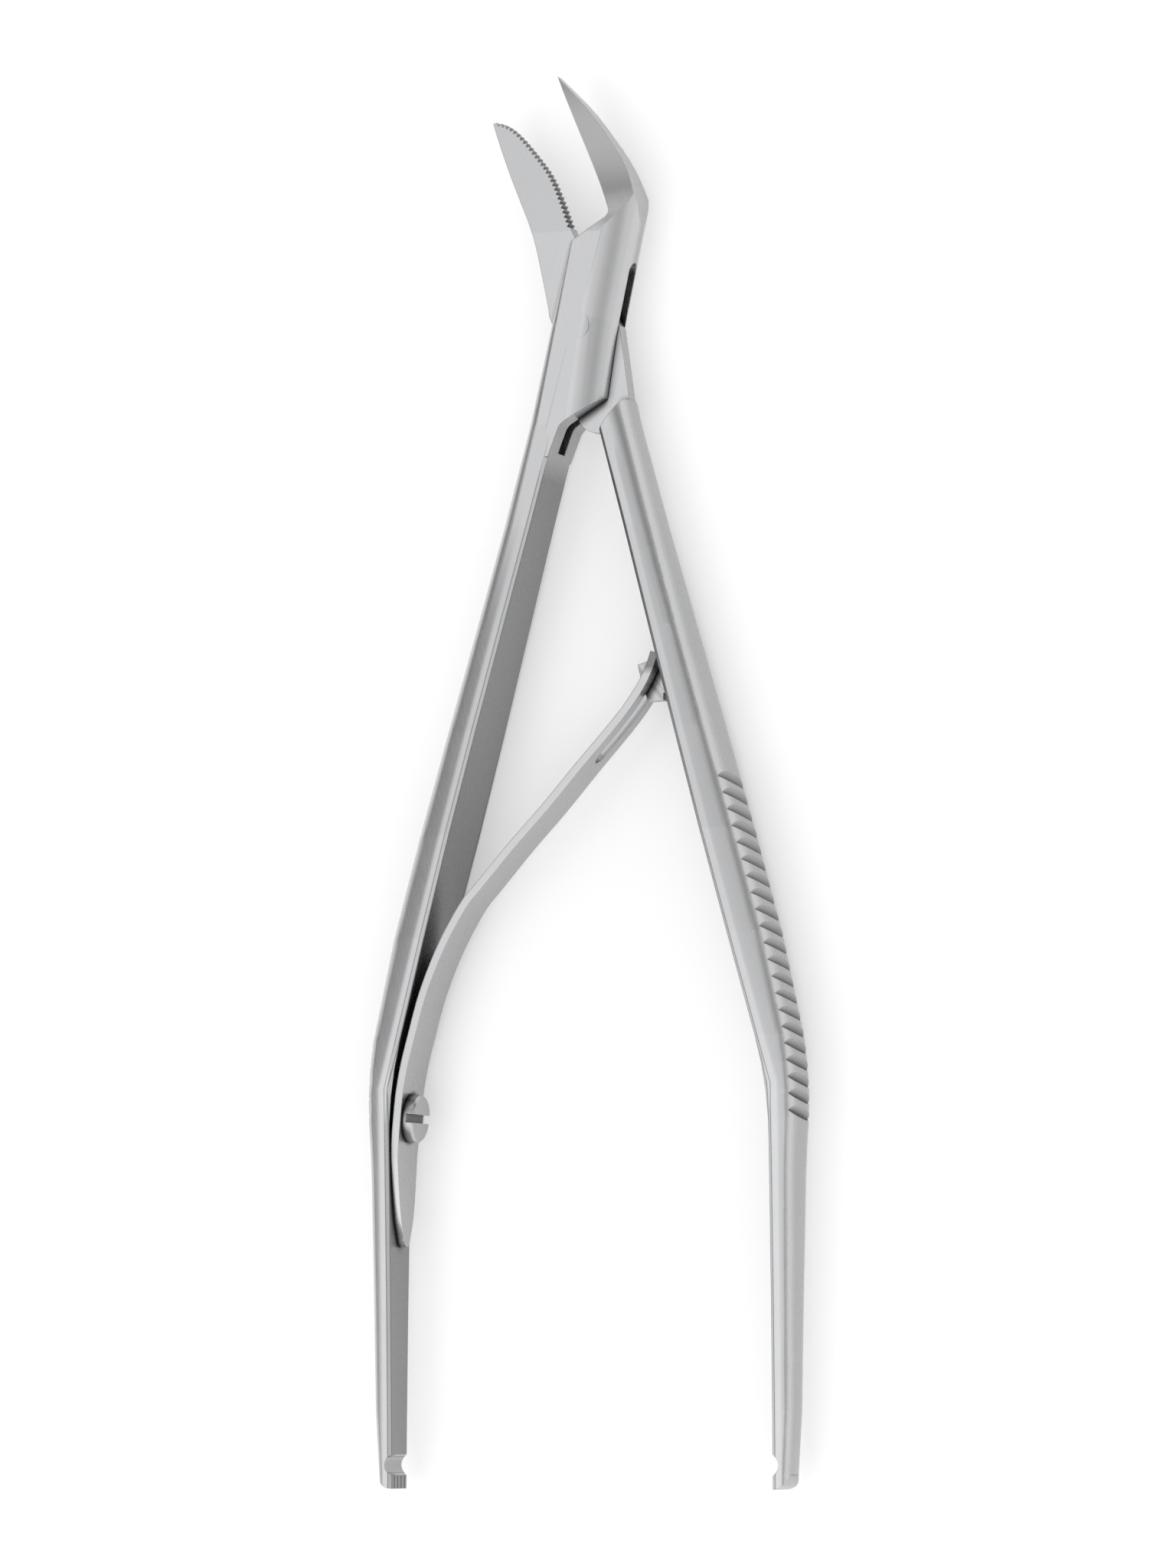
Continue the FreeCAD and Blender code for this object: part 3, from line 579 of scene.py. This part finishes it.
def makeSky(studio):
    world = bpy.data.worlds.new("studioSky")
    scene.world = world
    world.use_nodes = True
    tree = world.node_tree
    tree.nodes.clear()
    x, y, z = splitNode(tree, tree.nodes.new("ShaderNodeTexCoord").outputs["Generated"])

    # bands of light along Y
    ramp = tree.nodes.new("ShaderNodeValToRGB")
    ramp.color_ramp.interpolation = "EASE"
    stops = ramp.color_ramp.elements
    stops.remove(stops[1])
    for i, (degrees, level) in enumerate(studio["sky"]):
        position = 0.5 - degrees / 360
        stop = stops[0] if i == 0 else stops.new(position)
        stop.position = position
        grey = level / studio["skyTop"]
        stop.color = (grey, grey, grey, 1.0)
    angle = mathNode(tree, "ARCTAN2", x, z)
    link(tree, mathNode(tree, "MULTIPLY_ADD", angle, 0.5 / math.pi, 0.5), ramp.inputs["Fac"])
    fall = mathNode(tree, "SUBTRACT", 1.0, mathNode(tree, "MULTIPLY", y, studio["skyFall"]))
    strength = mathNode(tree, "MULTIPLY", fall, studio["skyTop"])
    bands = mathNode(tree, "MULTIPLY", ramp.outputs["Color"], strength)

    # plain at both ends of Y and below the floor
    start, end, level = studio["plainSky"]
    alongY = mathNode(tree, "ABSOLUTE", y)
    alongY = mapNode(tree, alongY, (start, end), (0.0, 1.0), "SMOOTHSTEP")
    plain = mathNode(tree, "MAXIMUM", alongY, mathNode(tree, "LESS_THAN", z, 0.0))
    change = mathNode(tree, "MULTIPLY", mathNode(tree, "SUBTRACT", level, bands), plain)
    light = tree.nodes.new("ShaderNodeBackground")
    light.inputs["Color"].default_value = (1.0, 1.0, 1.0, 1.0)
    link(tree, mathNode(tree, "ADD", bands, change), light.inputs["Strength"])
    out = tree.nodes.new("ShaderNodeOutputWorld")
    link(tree, light.outputs[0], out.inputs["Surface"])


def makeCamera(studio):
    tilt, pitch = math.radians(studio["tilt"]), math.radians(studio["pitch"])
    leant = Vector((math.sin(tilt), 0, math.cos(tilt)))
    back = leant * math.cos(pitch) - Vector((0, math.sin(pitch), 0))
    up = leant * math.sin(pitch) + Vector((0, math.cos(pitch), 0))
    right = Vector((math.cos(tilt), 0, -math.sin(tilt)))
    lens = bpy.data.cameras.new("photoCamera")
    lens.sensor_width = studio["sensor"]
    lens.lens = studio["sensor"] * studio["distance"] / studio["frameHeight"]
    lens.clip_start, lens.clip_end = studio["clip"]
    camera = bpy.data.objects.new("photoCamera", lens)
    scene.collection.objects.link(camera)
    camera.matrix_world = (
        Matrix.Translation(Vector(studio["aim"]) + back * studio["distance"])
        @ Matrix((right, up, back)).transposed().to_4x4()
    )
    scene.camera = camera


makeFloor(studio)
makeSky(studio)
makeCamera(studio)
scene.view_settings.view_transform = "Standard"
print("studio ready")
